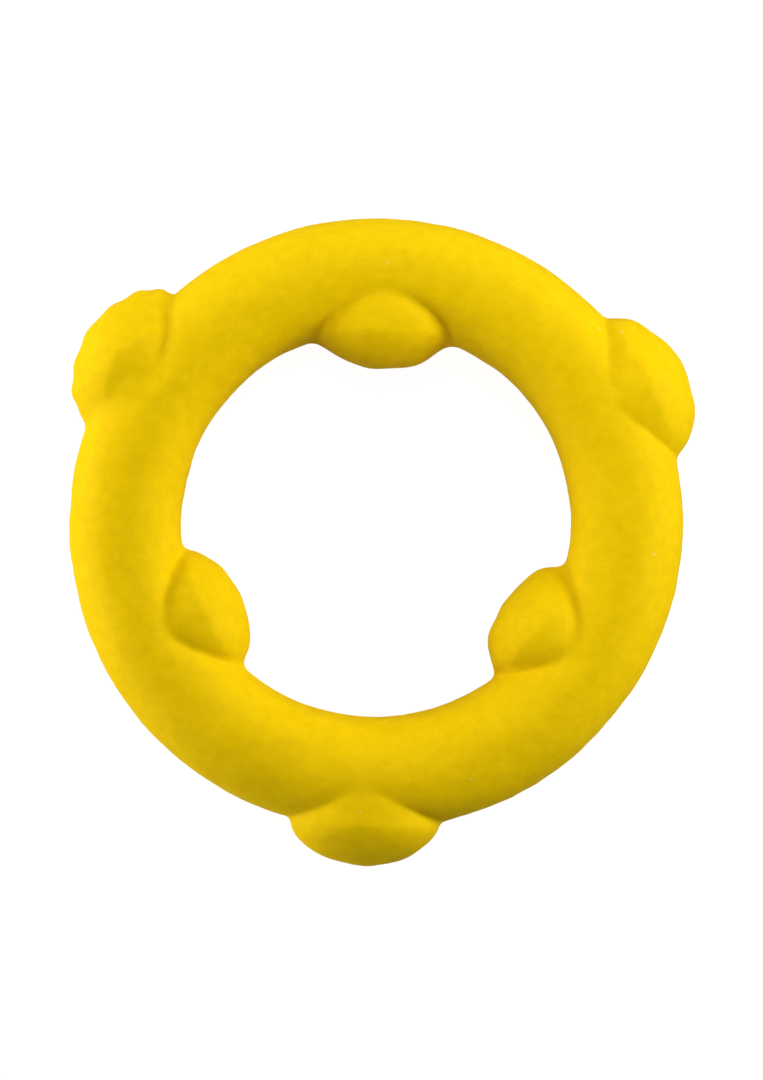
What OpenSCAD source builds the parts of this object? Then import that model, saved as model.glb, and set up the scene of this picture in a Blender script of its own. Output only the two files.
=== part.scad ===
// Nubbed elastomer ring: a round-section ring with three nubs on its inner rim and three on its
// outer rim, turn and turn about. It lies flat, with its axis along Z and its centre at the origin.
// Each nub is a boss of elliptical section that leaves the ring's tube radially and ends in a dome.

/* [Ring] */
// Diameter over the ring, without its nubs
ring_od = 60; // [48:1:90]
// Diameter of the ring's round section
tube_d = 10.9; // [9.5:0.1:12]

/* [Inner nubs] */
// Direction of each inner nub: right, rear, left (the soft ring sits a little off an even pitch)
inner_nub_angles = [330.5, 91, 209.5]; // [0:0.5:360]
// Length of an inner nub along the rim
inner_nub_length = 12.4; // [9:0.1:14]
// Height of an inner nub, along the ring's axis
inner_nub_height = 10.3; // [8.8:0.1:10.5]
// How far an inner nub stands in from the inner rim
inner_nub_reach = 4; // [3:0.1:5]

/* [Outer nubs] */
// Direction of each outer nub: right, left, front
outer_nub_angles = [30, 148.5, 270.5]; // [0:0.5:360]
// Length of an outer nub along the rim
outer_nub_length = 15.3; // [11:0.1:17]
// Height of an outer nub, along the ring's axis
outer_nub_height = 10.5; // [8.8:0.1:10.5]
// How far an outer nub stands out from the outer rim
outer_nub_reach = 3.8; // [3:0.1:5]

/* [Hidden] */
$fn = 128;

elastomer = [0.97, 0.81, 0.04];

tube_r = tube_d / 2;
outer_rim_r = ring_od / 2;
centreline_r = outer_rim_r - tube_r;
inner_rim_r = centreline_r - tube_r;

// A dome starts this far inside the rim that it grows from, so that it meets the tube on a slope
dome_sink = 0.75;
inner_dome_r = inner_rim_r - dome_sink;
outer_dome_r = outer_rim_r - dome_sink;
inner_tip_r = inner_rim_r - inner_nub_reach;
outer_tip_r = outer_rim_r + outer_nub_reach;

// The ring itself: a plain torus
module tube() {
    rotate_extrude()
        translate([centreline_r, 0])
            circle(r = tube_r);
}

// A shaft of elliptical section along +X, from the origin to x = depth
module elliptical_shaft(depth, length, height) {
    scale([1, length / 2, height / 2])
        rotate([0, 90, 0])
            cylinder(r = 1, h = depth);
}

// Half an ellipsoid on the side x > 0, with its flat face at the origin
module half_ellipsoid(depth, length, height) {
    scale([depth, length / 2, height / 2])
        intersection() {
            sphere(r = 1);
            translate([0, -2, -2])
                cube([2, 4, 4]);
        }
}

// A boss that points along +X, with its shaft's end at the origin
module boss(shaft, dome, length, height) {
    union() {
        elliptical_shaft(shaft, length, height);
        translate([shaft, 0, 0])
            half_ellipsoid(dome, length, height);
    }
}

// A nub that grows outwards from the tube, with the tube's own space left out of it
module outer_nub(angle) {
    color(elastomer)
        difference() {
            rotate([0, 0, angle])
                translate([centreline_r, 0, 0])
                    boss(outer_dome_r - centreline_r, outer_tip_r - outer_dome_r,
                         outer_nub_length, outer_nub_height);
            tube();
        }
}

// A nub that grows inwards from the tube
module inner_nub(angle) {
    color(elastomer)
        difference() {
            rotate([0, 0, angle])
                translate([centreline_r, 0, 0])
                    rotate([0, 0, 180])
                        boss(centreline_r - inner_dome_r, inner_dome_r - inner_tip_r,
                             inner_nub_length, inner_nub_height);
            tube();
        }
}

module ring_body() {
    color(elastomer) tube();
}

ring_body();
inner_nub(inner_nub_angles[0]);  // inner_nub_right
inner_nub(inner_nub_angles[1]);  // inner_nub_rear
inner_nub(inner_nub_angles[2]);  // inner_nub_left
outer_nub(outer_nub_angles[0]);  // outer_nub_right
outer_nub(outer_nub_angles[1]);  // outer_nub_left
outer_nub(outer_nub_angles[2]);  // outer_nub_front
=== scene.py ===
"""The looks of the nubbed elastomer ring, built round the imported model.

The ring is one soft moulding, and the model keeps its ring body and its six nubs as seven pieces.
Their outer skins are regions of one continuous surface: a round tube and six bosses, with small
fillets or creases in the valleys between. That surface is found along rays from the tube's
centreline and cut along the valleys. Under each nub the tube's own wall runs on, and it closes
both the ring body and the nub. Lengths are in millimetres until the meshes are made.
"""
import math

import bpy
import numpy as np
from mathutils import Matrix, Vector


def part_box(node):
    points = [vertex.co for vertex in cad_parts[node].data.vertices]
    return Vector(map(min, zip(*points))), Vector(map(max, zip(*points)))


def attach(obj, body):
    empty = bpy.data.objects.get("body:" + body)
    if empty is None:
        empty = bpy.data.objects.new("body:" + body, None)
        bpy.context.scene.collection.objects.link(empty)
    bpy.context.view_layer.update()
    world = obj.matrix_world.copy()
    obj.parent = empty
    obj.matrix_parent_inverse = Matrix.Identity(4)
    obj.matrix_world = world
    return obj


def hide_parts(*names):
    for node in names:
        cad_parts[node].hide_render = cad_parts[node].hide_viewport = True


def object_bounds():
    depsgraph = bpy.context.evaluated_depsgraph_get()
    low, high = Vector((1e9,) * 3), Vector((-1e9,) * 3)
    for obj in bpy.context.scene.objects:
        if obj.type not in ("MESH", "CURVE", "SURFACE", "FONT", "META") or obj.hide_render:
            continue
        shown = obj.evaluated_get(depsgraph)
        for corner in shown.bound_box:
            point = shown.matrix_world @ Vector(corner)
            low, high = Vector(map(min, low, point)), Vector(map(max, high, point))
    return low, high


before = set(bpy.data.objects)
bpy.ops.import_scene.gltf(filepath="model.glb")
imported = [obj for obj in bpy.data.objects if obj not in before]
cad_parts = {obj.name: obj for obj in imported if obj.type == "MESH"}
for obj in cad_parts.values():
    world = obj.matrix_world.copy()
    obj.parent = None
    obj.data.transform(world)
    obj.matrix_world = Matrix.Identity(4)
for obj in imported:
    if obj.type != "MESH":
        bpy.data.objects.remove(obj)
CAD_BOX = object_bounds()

MM = 0.001
SEED = 7

# ---------------------------------------------------------------- sizes taken from the frame
RING_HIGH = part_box("ring_body")[1]
TUBE_R = RING_HIGH.z / MM
CENTRE_R = RING_HIGH.x / MM - TUBE_R
FLOOR_Z = CAD_BOX[0].z

# The relaxed ring lies very slightly oval: by this much, along this direction.
OVAL = 0.11
OVAL_AXIS = math.radians(30)

# ---------------------------------------------------------------- the nubs
# angle: direction of the nub, in degrees, as in the CAD model
# side: 1 on the outer rim, -1 on the inner rim
# widths: half-length of the nub on its anticlockwise and clockwise side
# waist, tip: distances from the tube's centreline where the plan starts to round off, and ends
# squareness: exponent of the plan's outline, 2 for an ellipse
# height: half-height of the nub on its own axis, before shoulder, crown and sink lower it
# shoulder: distance from the centreline where the top starts to turn down
# roundness: exponent of the top's turn past the shoulder, 2 for an ellipse
# bow: how much nearer the tube the shoulder lies away from the nub's middle
# skew: how much farther out the shoulder lies for each millimetre anticlockwise
# crown: how much the whole top falls away towards the tip, as a share of its height squared
# fillets: reach of the blend between nub and tube on the faces, on the nub's anticlockwise and
# clockwise side, and what it gains at the rims
# section: exponent of the nub's sections across its axis, 2 for ellipses, less for a peaked top
# groove: depth of the crease in the valley on the faces, on the same two sides
# sink: the top falls away towards the tube from here, over this length, by this share
# ripples: (size, waves per half turn, phase) of the trimmed edge's unevenness
NUBS = {
    "inner_nub_right": dict(
        angle=330.5, side=-1, widths=(6.2, 6.3), waist=5.9, tip=9.85, squareness=1.9,
        height=5.28, shoulder=5.35, roundness=1.3, bow=0.0, skew=-0.2,
        crown=0.25, fillets=(0.3, 0.3, 0.8), section=1.85, groove=(0.3, 0.3),
        sink=(5.3, 5.0, 0.12),
        ripples=((0.09, 4, 2.5), (0.04, 9, -0.6))),
    "inner_nub_rear": dict(
        angle=91, side=-1, widths=(7.45, 8.0), waist=2.1, tip=9.33, squareness=2.18,
        height=5.38, shoulder=5.6, roundness=1.3, bow=0.0, skew=0.0,
        crown=0.0, fillets=(0.3, 0.3, 1.0), section=1.95, groove=(0.3, 0.3),
        sink=(5.6, 5.0, 0.20),
        ripples=((0.07, 10, -1.6), (0.02, 14, -0.4))),
    "inner_nub_left": dict(
        angle=209.5, side=-1, widths=(6.7, 6.4), waist=5.4, tip=9.52, squareness=1.92,
        height=5.3, shoulder=5.5, roundness=1.35, bow=0.0, skew=0.0,
        crown=0.45, fillets=(0.25, 0.25, 0.7), section=1.75, groove=(0.16, 0.2),
        sink=(5.4, 5.0, 0.14),
        ripples=((0.03, 10, -1.4), (0.02, 13, 0.5))),
    "outer_nub_right": dict(
        angle=30, side=1, widths=(7.8, 7.9), waist=3.0, tip=9.27, squareness=2.03,
        height=5.38, shoulder=4.95, roundness=1.4, bow=0.0, skew=0.0,
        crown=0.25, fillets=(0.15, 0.15, 0.35), section=1.7, groove=(0.05, 0.05),
        sink=(4.95, 5.0, 0.08),
        ripples=((0.06, 8, -1.1), (0.03, 13, 0.9))),
    "outer_nub_left": dict(
        angle=148.5, side=1, widths=(7.57, 7.27), waist=4.3, tip=9.35, squareness=2.0,
        height=5.42, shoulder=5.1, roundness=1.35, bow=0.1, skew=0.2,
        crown=0.15, fillets=(1.1, 0.2, 0.3), section=1.85, groove=(0.0, 0.3),
        sink=(5.0, 4.0, 0.20),
        ripples=((0.06, 5, -0.3), (0.09, 14, -0.75))),
    "outer_nub_front": dict(
        angle=270.5, side=1, widths=(7.35, 7.32), waist=4.3, tip=8.97, squareness=1.98,
        height=5.35, shoulder=4.7, roundness=1.35, bow=0.0, skew=0.0,
        crown=0.2, fillets=(0.15, 0.15, 0.4), section=1.7, groove=(0.05, 0.05),
        sink=(4.7, 5.0, 0.05),
        ripples=((0.03, 5, -1.8), (0.03, 10, -0.4))),
}
CROWN_START = 3.0      # the crown begins this far from the centreline
RIDGE_ROUND = 0.06     # how softly the shoulder turns, as a share of the way to the tip
SHOULDER_REACH = 6.0   # bow and skew change the shoulder up to this far from the nub's middle
GROOVE_WIDTH = 0.6     # how far from the valley the crease fades
SIDE_EASE = 5.0        # the two sides' fillets and grooves pass into each other over this length
NUB_SPAN = math.radians(27)  # a nub's field is worked out this far either side of its angle
CLEAR = 0.02           # the field goes straight on from this far short of a nub's tip
FAR = 9.0              # the field away from every nub
FILLET_DEPTH = 2.2     # the wider fillets at the rims fade this far above and below them
RIPPLE_DEPTH = 1.7     # the ripples fade this far above and below the parting plane

# ---------------------------------------------------------------- the moulding's unevenness
# (size, typical wavelength, seed) of the gentle lumps in the whole skin
LUMPS = ((0.030, 7.0, SEED), (0.011, 2.3, SEED + 1), (0.004, 1.1, SEED + 2))
WAVES = 18             # sine waves in each pattern of lumps
WAVE_SPREAD = (0.75, 1.4)    # their lengths, as shares of the typical wavelength
PARTING_LINE = (0.05, 0.16)  # height and half-width of the parting line round both rims
PARTING_CHANGE = (0.5, 9.0, SEED + 5)  # how far its height varies, over what length, and the seed
PARTING_LIMITS = (0.2, 2)    # the least and most that its height comes to, as shares

# ---------------------------------------------------------------- the grid of rays
# The steps round the ring are finest at the flanks of the nubs, where the skin is steepest.
COARSE = 1.0
STEP_AT_TOP = math.radians(0.55) * COARSE
STEP_AT_FLANK = math.radians(0.30) * COARSE
STEP_ELSEWHERE = math.radians(0.95) * COARSE
FLANK_START = math.radians(8)     # the flanks begin this far from a nub's angle
FLANK_EASE = math.radians(2)      # the steps shrink over this angle there
DENSE_SPAN = math.radians(18.5)   # the nub ends this far from its angle
NUB_EASE = math.radians(4)        # the steps grow over this angle past it
COUNTING_STEP = math.radians(0.05)
ROWS_PER_SIDE = int(58 / COARSE)
RIM_ROWS = (2.6, 0.45)   # how much closer together the rows are at the rims, and how far from them
RAY_SPAN = (3.0, 11.5)   # the skin lies this far along every ray, from the tube's centreline
RAY_HALVINGS = 24
VALLEY_HALVINGS = 14
SNAP = 0.22              # a crossing this close to a grid point, in steps, moves the point onto it
FIELD_STEP = 0.01        # the length over which a field's slope is taken
NORMAL_STEP = 0.02       # the same for the skin's normals


def waves(points, wavelength, seed):
    """Smooth noise of about unit size: a sum of sine waves in seeded directions."""
    rng = np.random.default_rng(seed)
    directions = rng.normal(size=(WAVES, 3))
    directions /= np.linalg.norm(directions, axis=1)[:, None]
    rates = 2 * math.pi / (wavelength * rng.uniform(*WAVE_SPREAD, WAVES))
    phases = rng.uniform(0, 2 * math.pi, WAVES)
    total = np.zeros(len(points))
    for direction, rate, phase in zip(directions, rates, phases):
        total += np.sin(points @ (direction * rate) + phase)
    return total * math.sqrt(2 / WAVES)


def shorter_way(turns):
    """Differences of angles, taken the shorter way round."""
    return (turns + math.pi) % (2 * math.pi) - math.pi


def share_of_way(start, end, place):
    """How far the place is from start to end, held between 0 and 1."""
    return np.clip((place - start) / (end - start), 0, 1)


def tube_field(points):
    """Signed distance from the round tube, whose centreline is very slightly oval."""
    angle = np.arctan2(points[:, 1], points[:, 0])
    centre = CENTRE_R + OVAL * np.cos(2 * (angle - OVAL_AXIS))
    return np.hypot(np.hypot(points[:, 0], points[:, 1]) - centre, points[:, 2]) - TUBE_R


def nub_place(points, nub):
    """Distance from the tube's centreline towards the nub's tip, and anticlockwise across it."""
    x, y = points[:, 0], points[:, 1]
    cosine = math.cos(math.radians(nub["angle"]))
    sine = math.sin(math.radians(nub["angle"]))
    out = nub["side"] * (x * cosine + y * sine - CENTRE_R)
    across = y * cosine - x * sine
    return out, across


def nub_shape(points, nub):
    """Under 0 in the nub and over 0 outside. Its sections across its own axis are superellipses."""
    out, across = nub_place(points, nub)
    tip = nub["tip"]
    half = np.where(across > 0, *nub["widths"])
    at = np.minimum(out, tip - CLEAR)

    # the outline in plan
    past_waist = share_of_way(nub["waist"], tip, at)
    plan = (1 - past_waist ** nub["squareness"]) ** (nub["section"] / nub["squareness"])

    # the rise and fall of the top along the nub
    near_middle = np.clip(across, -SHOULDER_REACH, SHOULDER_REACH)
    shoulder = nub["shoulder"] + nub["skew"] * near_middle - nub["bow"] * near_middle ** 2
    past_shoulder = share_of_way(shoulder, tip, at)
    full_turn = math.hypot(1, RIDGE_ROUND) - RIDGE_ROUND
    turned = (np.hypot(past_shoulder, RIDGE_ROUND) - RIDGE_ROUND) / full_turn
    past_crown = share_of_way(CROWN_START, tip, at)
    sink_start, sink_length, sink_share = nub["sink"]
    sunk = np.clip((sink_start - at) / sink_length, 0, 1)
    rise = (1 - turned ** nub["roundness"]) * (1 - nub["crown"] * past_crown * past_crown)
    rise *= 1 - sink_share * sunk * sunk

    height_share = np.sqrt(rise / plan)
    return (np.abs(across / half) ** nub["section"] * height_share
            + (points[:, 2] / nub["height"]) ** 2 / height_share
            - np.sqrt(plan * rise) * np.minimum(1, (tip - out) / CLEAR))


def ripple(points, nub):
    """The uneven trimmed edge of the nub, at the parting plane."""
    out, across = nub_place(points, nub)
    half = np.where(across > 0, *nub["widths"])
    past_waist = np.maximum(out - nub["waist"], 0)
    heading = np.arctan2(across / half, past_waist / (nub["tip"] - nub["waist"]))
    total = sum(size * np.cos(count * heading + phase) for size, count, phase in nub["ripples"])
    return total * np.exp(-(points[:, 2] / RIPPLE_DEPTH) ** 2)


def nub_field(points, nub):
    """Roughly the signed distance from the nub."""
    here = nub_shape(points, nub)
    slope_squared = np.zeros(len(points))
    for axis in range(3):
        beside = points.copy()
        beside[:, axis] += FIELD_STEP
        slope_squared += ((nub_shape(beside, nub) - here) / FIELD_STEP) ** 2
    never_zero = 1e-6
    out, _ = nub_place(points, nub)
    start = nub["sink"][0] - nub["sink"][1]
    distance = here / np.sqrt(slope_squared + never_zero)
    return np.maximum(distance - ripple(points, nub), start - out)


def near(points, nub):
    """Which points are close enough to the nub for its field to matter."""
    off = shorter_way(np.arctan2(points[:, 1], points[:, 0]) - math.radians(nub["angle"]))
    return np.flatnonzero(np.abs(off) < NUB_SPAN)


def unevenness(points):
    """How far the lumps and the parting line raise the skin."""
    total = sum(size * waves(points, length, seed) for size, length, seed in LUMPS)
    height, width = PARTING_LINE
    share, length, seed = PARTING_CHANGE
    waver = np.clip(1 + share * waves(points, length, seed), *PARTING_LIMITS)
    return total + height * waver * np.exp(-(points[:, 2] / width) ** 2)


def fields(points):
    """The tube's field, the nearest nub's field, what the valley between gains, the nub's number."""
    tube = tube_field(points)
    nub = np.full(len(points), FAR)
    fillet = np.ones(len(points))
    groove = np.zeros(len(points))
    which = np.zeros(len(points), int)
    for number, shape in enumerate(NUBS.values()):
        at = near(points, shape)
        value = nub_field(points[at], shape)
        closer = value < nub[at]
        at = at[closer]
        nub[at] = value[closer]
        which[at] = number
        _, across = nub_place(points[at], shape)
        anticlockwise = np.clip(0.5 + across / SIDE_EASE, 0, 1)
        at_rim = np.exp(-(points[at, 2] / FILLET_DEPTH) ** 2)
        fillet_a, fillet_b, rim_gain = shape["fillets"]
        groove_a, groove_b = shape["groove"]
        fillet[at] = fillet_b + (fillet_a - fillet_b) * anticlockwise + rim_gain * at_rim
        groove[at] = (groove_b + (groove_a - groove_b) * anticlockwise) * (1 - at_rim)
    rounding = fillet / 4 * np.maximum(0, 1 - np.abs(tube - nub) / fillet) ** 2
    crease = groove * np.exp(-((tube - nub) / GROOVE_WIDTH) ** 2)
    return tube, nub, rounding - crease, which


def skin(points):
    """The moulding's surface is where this is 0."""
    tube, nub, blend, _ = fields(points)
    return np.minimum(tube, nub) - blend - unevenness(points)


def wall(points):
    """The tube wall, which runs on under the nubs and meets the skin in the valleys."""
    tube, _, blend, _ = fields(points)
    return tube - blend - unevenness(points)


def on_ray(theta, phi, reach):
    """Points on rays from the tube's centreline: theta round the ring, phi round the tube."""
    radius = CENTRE_R + reach * np.cos(phi)
    return np.stack([radius * np.cos(theta), radius * np.sin(theta), reach * np.sin(phi)], axis=1)


def solve(surface, theta, phi):
    """Where each ray from the centreline leaves the surface."""
    low, high = (np.full(len(theta), end) for end in RAY_SPAN)
    for _ in range(RAY_HALVINGS):
        reach = (low + high) / 2
        outside = surface(on_ray(theta, phi, reach)) > 0
        high = np.where(outside, reach, high)
        low = np.where(outside, low, reach)
    return (low + high) / 2


def skin_normals(points):
    steps = NORMAL_STEP * np.eye(3)
    slopes = np.stack([skin(points + step) - skin(points - step) for step in steps], axis=1)
    return slopes / np.linalg.norm(slopes, axis=1)[:, None]


def ring_angles():
    """Steps round the ring, closer together at the nubs."""
    fine = np.arange(0, 2 * math.pi, COUNTING_STEP)
    step = np.full(len(fine), STEP_ELSEWHERE)
    for nub in NUBS.values():
        off = np.abs(shorter_way(fine - math.radians(nub["angle"])))
        flank = np.clip((off - FLANK_START) / FLANK_EASE, 0, 1)
        dense = STEP_AT_TOP + (STEP_AT_FLANK - STEP_AT_TOP) * flank
        ease = np.clip((off - DENSE_SPAN) / NUB_EASE, 0, 1)
        step = np.minimum(step, dense + (STEP_ELSEWHERE - dense) * ease)
    passed = np.concatenate([[0], np.cumsum(1 / step)])
    count = int(round(passed[-1] * COUNTING_STEP))
    marks = np.arange(count) / count * passed[-1]
    return np.interp(marks, passed, np.append(fine, 2 * math.pi))


def tube_angles():
    """Steps round the tube's section, closer together at the parting line on both rims."""
    fine_steps = 2000
    gain, reach = RIM_ROWS
    even = np.linspace(-math.pi / 2, math.pi / 2, fine_steps + 1)
    close = 1 + gain * np.exp(-(even * TUBE_R / reach) ** 2)
    passed = np.concatenate([[0], np.cumsum(close[1:])])
    half = np.interp(np.arange(ROWS_PER_SIDE) / ROWS_PER_SIDE * passed[-1], passed, even)
    return np.concatenate([half, half + math.pi])


def ray_grid():
    """The theta and phi of every ray, and the quads between neighbours, as four rays' numbers."""
    theta_steps = ring_angles()
    phi_steps = tube_angles()
    columns, rows = len(theta_steps), len(phi_steps)
    column, row = np.meshgrid(np.arange(columns), np.arange(rows), indexing="ij")
    next_column, next_row = (column + 1) % columns, (row + 1) % rows
    quads = np.stack([column * rows + row, next_column * rows + row,
                      next_column * rows + next_row, column * rows + next_row], axis=-1)
    return np.repeat(theta_steps, rows), np.tile(phi_steps, columns), quads.reshape(-1, 4)


def valley(theta, phi):
    """Over 0 on the ring body and under 0 on a nub, at the skin along each ray; the nub's number."""
    tube, nub, _, which = fields(on_ray(theta, phi, solve(skin, theta, phi)))
    return nub - tube, which


def find_crossings(theta, phi, side, quads):
    """The grid's edges that cross a valley: both ends, and where between them the crossing lies.

    That place is given as a share of the way, and as the turns in theta and phi from the first end.
    """
    edges = np.concatenate([quads[:, [0, 1]], quads[:, [0, 3]]])
    crossed = edges[(side[edges[:, 0]] > 0) != (side[edges[:, 1]] > 0)]
    start, end = crossed.T
    across_theta = shorter_way(theta[end] - theta[start])
    across_phi = shorter_way(phi[end] - phi[start])
    low, high = np.zeros(len(start)), np.ones(len(start))
    for _ in range(VALLEY_HALVINGS):
        middle = (low + high) / 2
        here, _ = valley(theta[start] + across_theta * middle, phi[start] + across_phi * middle)
        same = (here > 0) == (side[start] > 0)
        low, high = np.where(same, middle, low), np.where(same, high, middle)
    shares = (low + high) / 2
    return crossed, shares, across_theta * shares, across_phi * shares


def snap_points(theta, phi, side, crossings):
    """Moves each grid point that a crossing comes close to onto the valley, and names them."""
    crossed, shares, turn_theta, turn_phi = crossings
    moved = {}
    for number, ((start, end), share) in enumerate(zip(crossed.tolist(), shares)):
        for point, distance in ((start, share), (end, 1 - share)):
            if distance < SNAP and distance < moved.get(point, (SNAP, 0))[0]:
                moved[point] = (distance, number)
    for point, (_, number) in moved.items():
        start = crossed[number, 0]
        theta[point] = theta[start] + turn_theta[number]
        phi[point] = phi[start] + turn_phi[number]
        side[point] = 0.0
    return set(moved)


def add_points(theta, phi, crossings, moved):
    """A new ray through each crossing whose edge has no moved end, filed under the edge's ends."""
    crossed, _, turn_theta, turn_phi = crossings
    free = [number for number, ends in enumerate(crossed.tolist()) if moved.isdisjoint(ends)]
    new_points = {tuple(sorted(ends)): len(theta) + n for n, ends in enumerate(crossed[free].tolist())}
    start = crossed[free, 0]
    theta = np.concatenate([theta, theta[start] + turn_theta[free]])
    phi = np.concatenate([phi, phi[start] + turn_phi[free]])
    return theta, phi, new_points


def cut_quads(quads, side, signs, which, new_points):
    """The faces, and the owner of each: -1 for the ring body, or a nub's number.

    Whole quads belong to one piece, and the rest are cut along the valley.
    """
    corners = signs[quads]
    mixed = (corners.min(axis=1) < 0) & (corners.max(axis=1) > 0)
    whole = quads[~mixed]
    on_nub = signs[whole].min(axis=1) < 0
    deepest = np.argmin(side[whole], axis=1)
    nub_numbers = which[whole][np.arange(len(whole)), deepest]
    faces = whole.tolist()
    owners = np.where(on_nub, nub_numbers, -1).tolist()
    for quad in quads[mixed].tolist():
        loop = []
        for here, after in zip(quad, quad[1:] + quad[:1]):
            loop.append(here)
            if signs[here] * signs[after] < 0:
                loop.append(new_points[(min(here, after), max(here, after))])
        nub_number = int(which[min(quad, key=lambda corner: side[corner])])
        for kept_sign, owner in ((1, -1), (-1, nub_number)):
            part = [corner for corner in loop if signs[corner] * kept_sign >= 0]
            if len(part) >= 3:
                faces.append(part)
                owners.append(owner)
    return faces, owners


def build_surface():
    """The rays, the sign of each (-1 on a nub, 0 in a valley, 1 on the ring), faces and owners."""
    theta, phi, quads = ray_grid()
    side, which = valley(theta, phi)
    crossings = find_crossings(theta, phi, side, quads)
    moved = snap_points(theta, phi, side, crossings)
    theta, phi, new_points = add_points(theta, phi, crossings, moved)
    side = np.append(side, np.zeros(len(new_points)))
    signs = np.sign(side).astype(int)
    faces, owners = cut_quads(quads, side, signs, which, new_points)
    return theta, phi, signs, faces, owners


def split_quads(faces, owners, points):
    """Each quad becomes two triangles that share its shorter diagonal, so steep flanks stay even."""
    split, split_owners = [], []
    for face, owner in zip(faces, owners):
        parts = [face]
        if len(face) == 4:
            a, b, c, d = face
            first, second = ((points[[a, b]] - points[[c, d]]) ** 2).sum(axis=1)
            parts = [[a, b, c], [a, c, d]] if first <= second else [[b, c, d], [b, d, a]]
        split += parts
        split_owners += [owner] * len(parts)
    return split, np.array(split_owners)


def compact(faces):
    """The points that the faces use, and the faces renumbered to suit."""
    used = np.unique([point for face in faces for point in face])
    place = {point: n for n, point in enumerate(used.tolist())}
    return used, [[place[point] for point in face] for face in faces]


def make_mesh(name, points, faces, normals):
    """A smooth mesh object from points in millimetres."""
    mesh = bpy.data.meshes.new(name)
    mesh.from_pydata((points * MM).tolist(), [], faces)
    mesh.polygons.foreach_set("use_smooth", [True] * len(faces))
    mesh.update()
    mesh.normals_split_custom_set_from_vertices(normals.tolist())
    piece = bpy.data.objects.new(name, mesh)
    bpy.context.scene.collection.objects.link(piece)
    return piece


def build_pieces():
    """The ring body and the nubs, by the names of the CAD nodes that they replace."""
    theta, phi, signs, faces, owners = build_surface()
    outer = on_ray(theta, phi, solve(skin, theta, phi))
    faces, owners = split_quads(faces, owners, outer)
    normals = skin_normals(outer)

    # the ring body: its skin, and the tube wall under each nub
    hidden = np.flatnonzero(signs < 0)
    under = outer.copy()
    under[hidden] = on_ray(theta[hidden], phi[hidden], solve(wall, theta[hidden], phi[hidden]))
    away = under[hidden].copy()
    away[:, :2] *= (1 - CENTRE_R / np.hypot(away[:, 0], away[:, 1]))[:, None]
    body_normals = normals.copy()
    body_normals[hidden] = away / np.linalg.norm(away, axis=1)[:, None]
    pieces = {"ring_body": make_mesh("ring_body_skin", under, faces, body_normals)}

    # each nub: its skin, closed by the same wall seen from the other side
    for number, name in enumerate(NUBS):
        used, local = compact([faces[n] for n in np.flatnonzero(owners == number)])
        inside = np.flatnonzero(signs[used] < 0)
        back = np.arange(len(used))
        back[inside] = len(used) + np.arange(len(inside))
        closing = [[int(back[point]) for point in reversed(face)] for face in local]
        points = np.concatenate([outer[used], under[used[inside]]])
        facing = np.concatenate([normals[used], -body_normals[used[inside]]])
        pieces[name] = make_mesh(name + "_skin", points, local + closing, facing)
    return pieces


PIECES = build_pieces()


# ---------------------------------------------------------------- material
# (place on the scale of tones, colour) of the pigmented elastomer, from darkest to palest
SHADES = ((0.30, (0.83, 0.545, 0.0)), (0.50, (0.905, 0.605, 0.0)), (0.70, (0.98, 0.667, 0.004)))
DUST = (0.93, 0.76, 0.22)
MOTTLE = 1.15          # sizes of the patches in the colour, in millimetres
CLOUD = 6.5            # larger, fainter patches
GRAIN = 0.16           # the mould's grain
BRUSH = (1.2, 0.20)    # length and width of the faint strokes that wiping leaves
BRUSH_TURN = (0.4, 0.3, 0.9)  # their direction, in radians about X, Y and Z
TONE_SHARES = {"mottle": 0.44, "cloud": 0.12, "grain": 0.30, "strokes": 0.14}
SPECK = (2.1, 0.20, 0.94)  # spacing and radius of the dust specks, and the share left out
SPECK_WOBBLE = 0.25    # size of the unevenness in a speck's outline, in millimetres
SPECK_EDGE = 25.0      # how sharply a speck's edge rises
SPECK_STRENGTH = 0.45  # how far a speck hides the colour under it
ROUGHNESS = 0.50       # the least roughness, and what the grain and the mottle add to it
ROUGH_GRAIN = 0.16
ROUGH_MOTTLE = 0.10
GRAIN_HEIGHT = 0.010 * MM   # relief
MOTTLE_HEIGHT = 0.030 * MM
SPECULAR = 0.04        # the skin is almost without shine


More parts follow.
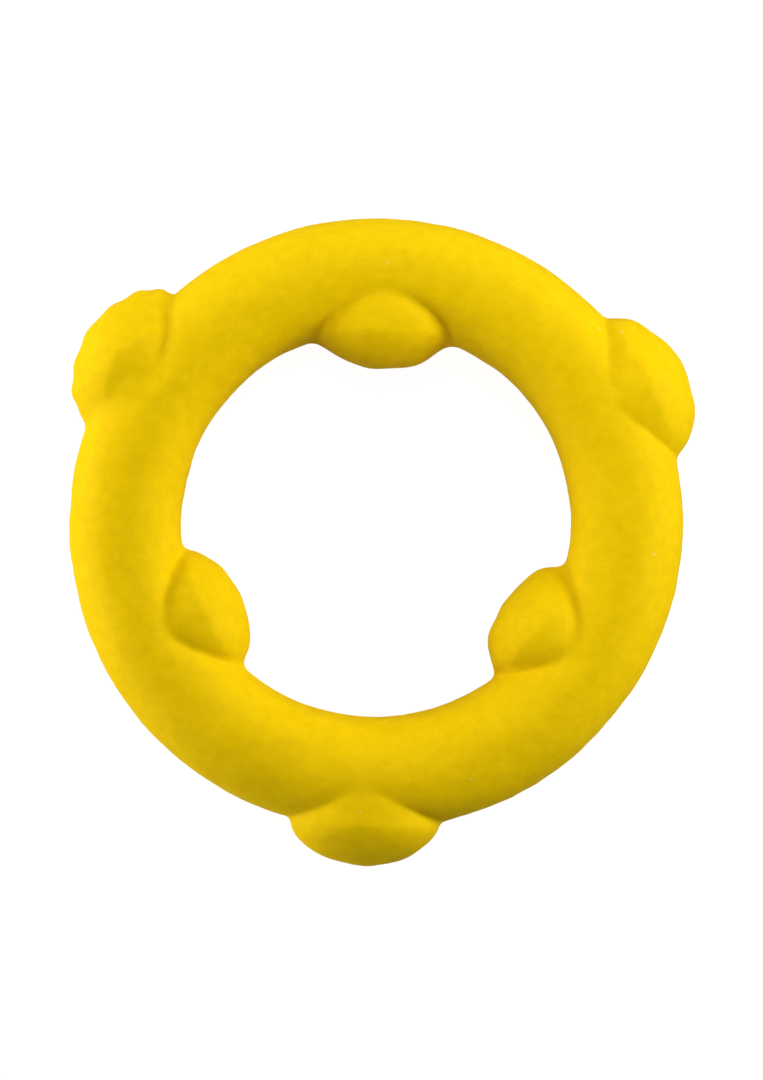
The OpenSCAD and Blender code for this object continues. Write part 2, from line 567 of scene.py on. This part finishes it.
def elastomer_material():
    """Matte pigmented elastomer: patchy colour, mould grain, faint strokes, a few dust specks."""
    material = bpy.data.materials.new("matte_yellow_elastomer")
    material.use_nodes = True
    tree = material.node_tree
    shader = tree.nodes["Principled BSDF"]
    shader.inputs["Specular IOR Level"].default_value = SPECULAR
    place = tree.nodes.new("ShaderNodeTexCoord").outputs["Object"]

    def noise(size, detail, where=place):
        node = tree.nodes.new("ShaderNodeTexNoise")
        node.inputs["Scale"].default_value = 1 / (size * MM)
        node.inputs["Detail"].default_value = detail
        tree.links.new(where, node.inputs["Vector"])
        return node.outputs["Fac"]

    def math_node(operation, first, second, third=None):
        node = tree.nodes.new("ShaderNodeMath")
        node.operation = operation
        for socket, value in zip(node.inputs, (first, second, third)):
            if isinstance(value, (int, float)):
                socket.default_value = value
            elif value is not None:
                tree.links.new(value, socket)
        return node.outputs["Value"]

    def stretched(length, width):
        node = tree.nodes.new("ShaderNodeMapping")
        node.inputs["Rotation"].default_value = BRUSH_TURN
        node.inputs["Scale"].default_value = (width / length, 1, 1)
        tree.links.new(place, node.inputs["Vector"])
        return node.outputs["Vector"]

    mottle = noise(MOTTLE, 3)
    cloud = noise(CLOUD, 2)
    grain = noise(GRAIN, 2)
    strokes = noise(BRUSH[1], 1, stretched(*BRUSH))

    # colour: the weighted mean of the patterns, through the shades
    tone = math_node("MULTIPLY", mottle, TONE_SHARES["mottle"])
    for pattern, name in ((cloud, "cloud"), (grain, "grain"), (strokes, "strokes")):
        tone = math_node("MULTIPLY_ADD", pattern, TONE_SHARES[name], tone)
    ramp = tree.nodes.new("ShaderNodeValToRGB")
    elements = ramp.color_ramp.elements
    while len(elements) < len(SHADES):
        elements.new(0.5)
    for element, (position, colour) in zip(elements, SHADES):
        element.position = position
        element.color = (*colour, 1)
    tree.links.new(tone, ramp.inputs["Fac"])

    # dust: a small uneven dot in the middle of a few cells
    spacing, radius, left_out = SPECK
    cells = tree.nodes.new("ShaderNodeTexVoronoi")
    cells.inputs["Scale"].default_value = 1 / (spacing * MM)
    wobble = noise(SPECK_WOBBLE, 1)
    tree.links.new(place, cells.inputs["Vector"])
    reach = math_node("MULTIPLY_ADD", wobble, radius / spacing, radius / spacing / 2)
    dot = math_node("SUBTRACT", reach, cells.outputs["Distance"])
    dot = math_node("MULTIPLY", math_node("MAXIMUM", dot, 0.0), SPECK_EDGE)
    dot = math_node("MINIMUM", dot, 1.0)
    chosen = tree.nodes.new("ShaderNodeSeparateColor")
    tree.links.new(cells.outputs["Color"], chosen.inputs["Color"])
    dot = math_node("MULTIPLY", dot, math_node("GREATER_THAN", chosen.outputs["Red"], left_out))
    dusty = tree.nodes.new("ShaderNodeMix")
    dusty.data_type = "RGBA"
    # the Mix node has a pair of inputs and an output for each data type, and these are its colours
    clean_colour, dust_colour, mixed_colour = dusty.inputs[6], dusty.inputs[7], dusty.outputs[2]
    dust_colour.default_value = (*DUST, 1)
    tree.links.new(math_node("MULTIPLY", dot, SPECK_STRENGTH), dusty.inputs["Factor"])
    tree.links.new(ramp.outputs["Color"], clean_colour)
    tree.links.new(mixed_colour, shader.inputs["Base Color"])

    # roughness
    rough = math_node("MULTIPLY_ADD", grain, ROUGH_GRAIN, ROUGHNESS)
    rough = math_node("MULTIPLY_ADD", mottle, ROUGH_MOTTLE, rough)
    tree.links.new(rough, shader.inputs["Roughness"])

    # relief: soft waves with the mould grain on them
    normal = None
    for height, distance in ((mottle, MOTTLE_HEIGHT), (grain, GRAIN_HEIGHT)):
        bump = tree.nodes.new("ShaderNodeBump")
        bump.inputs["Distance"].default_value = distance
        tree.links.new(height, bump.inputs["Height"])
        if normal:
            tree.links.new(normal, bump.inputs["Normal"])
        normal = bump.outputs["Normal"]
    tree.links.new(normal, shader.inputs["Normal"])
    return material


ELASTOMER = elastomer_material()
for node, piece in PIECES.items():
    piece.data.materials.append(ELASTOMER)
    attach(piece, "root")
    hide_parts(node)


# ---------------------------------------------------------------- studio
# The floor, in metres: flat out to here, then a bend of this radius up to a wall of this height
FLOOR_FLAT = 1.3
FLOOR_BEND = 0.5
FLOOR_WALL = 1.4
FLOOR_CENTRE = 0.02    # radius of the fan of faces in the middle
FLOOR_COLOUR = 0.15
FLOOR_GLOW = 0.96


def studio_floor():
    """A pale floor that sweeps up into a wall all round."""
    around, bend_steps = 96, 16
    profile = [(FLOOR_CENTRE, 0.0), (FLOOR_FLAT, 0.0)]
    profile += [(FLOOR_FLAT + FLOOR_BEND * math.sin(a), FLOOR_BEND * (1 - math.cos(a)))
                for a in np.linspace(0, math.pi / 2, bend_steps)[1:]]
    profile.append((FLOOR_FLAT + FLOOR_BEND, FLOOR_WALL))
    points = [(0.0, 0.0, FLOOR_Z)]
    for r, z in profile:
        points += [(r * math.cos(a), r * math.sin(a), z + FLOOR_Z)
                   for a in np.arange(around) * 2 * math.pi / around]
    faces = [(0, 1 + n, 1 + (n + 1) % around) for n in range(around)]
    for k in range(len(profile) - 1):
        a, b = 1 + k * around, 1 + (k + 1) * around
        faces += [(a + n, b + n, b + (n + 1) % around, a + (n + 1) % around)
                  for n in range(around)]
    mesh = bpy.data.meshes.new("studio_floor")
    mesh.from_pydata(points, [], faces)
    mesh.polygons.foreach_set("use_smooth", [True] * len(faces))
    floor = bpy.data.objects.new("studio_floor", mesh)
    bpy.context.scene.collection.objects.link(floor)
    material = bpy.data.materials.new("pale_floor")
    material.use_nodes = True
    shader = material.node_tree.nodes["Principled BSDF"]
    shader.inputs["Base Color"].default_value = (FLOOR_COLOUR, FLOOR_COLOUR, FLOOR_COLOUR, 1)
    shader.inputs["Roughness"].default_value = 1.0
    shader.inputs["Specular IOR Level"].default_value = 0.0
    shader.inputs["Emission Color"].default_value = (1, 1, 1, 1)
    shader.inputs["Emission Strength"].default_value = FLOOR_GLOW
    mesh.materials.append(material)
    # the floor is a plain bright ground: it takes shadows, and throws no light back on the ring
    floor.visible_diffuse = False
    floor.visible_glossy = False
    floor.visible_shadow = False


studio_floor()


def soft_light(name, azimuth, elevation, box, watts, colour=(1, 1, 1)):
    """A square soft box aimed at the ring's centre. Azimuth is anticlockwise from +X."""
    distance, size = box
    data = bpy.data.lights.new(name, "AREA")
    data.shape = "SQUARE"
    data.size = size
    data.energy = watts
    data.color = colour
    light = bpy.data.objects.new(name, data)
    bpy.context.scene.collection.objects.link(light)
    a, e = math.radians(azimuth), math.radians(elevation)
    away = Vector((math.cos(a) * math.cos(e), math.sin(a) * math.cos(e), math.sin(e)))
    light.location = away * distance
    light.rotation_mode = "QUATERNION"
    light.rotation_quaternion = away.to_track_quat("Z", "Y")
    light.visible_camera = False


WARM = (1.0, 0.97, 0.94)
COOL = (0.93, 1.0, 1.0)
# distance from the ring's centre and width of the soft boxes, in metres
NEAR_BOX = (0.2, 0.10)
FAR_BOX = (0.7, 0.25)
TABLE_BOX = (0.0065, 0.30)   # it lies just under the ring, and lights it through the floor
soft_light("overhead_rear", 90, 60, NEAR_BOX, 0.169)
soft_light("right_near", 0, 30, NEAR_BOX, 0.0974)
soft_light("right_rear", 30, 22, FAR_BOX, 2.0, WARM)
soft_light("left_rear", 150, 10, FAR_BOX, 2.05, WARM)
soft_light("left_front", 210, 10, FAR_BOX, 1.95)
soft_light("right", 0, 10, FAR_BOX, 1.13)
soft_light("left_low", 180, 0, FAR_BOX, 1.84, WARM)
soft_light("front", 270, 12, FAR_BOX, 0.369, COOL)
soft_light("rear_low", 90, 0, FAR_BOX, 0.717)
soft_light("table_glow", 0, -89.9, TABLE_BOX, 0.0717)

WORLD_GLOW = 0.01
world = bpy.data.worlds.new("studio")
bpy.context.scene.world = world
world.use_nodes = True
world.node_tree.nodes["Background"].inputs["Color"].default_value = (1, 1, 1, 1)
world.node_tree.nodes["Background"].inputs["Strength"].default_value = WORLD_GLOW

# ---------------------------------------------------------------- camera
# It looks straight down the ring's axis from half a metre up, turned a little about that axis.
VIEW_HEIGHT = 106.02   # what the picture takes in from top to bottom, in millimetres
LENS = 180.0
SENSOR = 36.0
ROLL = math.radians(2.8)
OFF_CENTRE = (-0.540, 1.610)  # where the ring's centre falls, right of and above the middle
NEAREST, FARTHEST = 0.01, 10  # what the camera sees, in metres
camera_data = bpy.data.cameras.new("camera")
camera_data.lens = LENS
camera_data.sensor_width = SENSOR
camera = bpy.data.objects.new("camera", camera_data)
bpy.context.scene.collection.objects.link(camera)
bpy.context.scene.camera = camera
distance = VIEW_HEIGHT * MM * LENS / SENSOR
rolled = Matrix.Rotation(ROLL, 3, "Z")
camera.location = rolled @ Vector((-OFF_CENTRE[0] * MM, -OFF_CENTRE[1] * MM, distance))
camera.rotation_euler = (0, 0, ROLL)
camera_data.clip_start = NEAREST
camera_data.clip_end = FARTHEST
bpy.context.scene.view_settings.view_transform = "Standard"

bpy.context.view_layer.update()
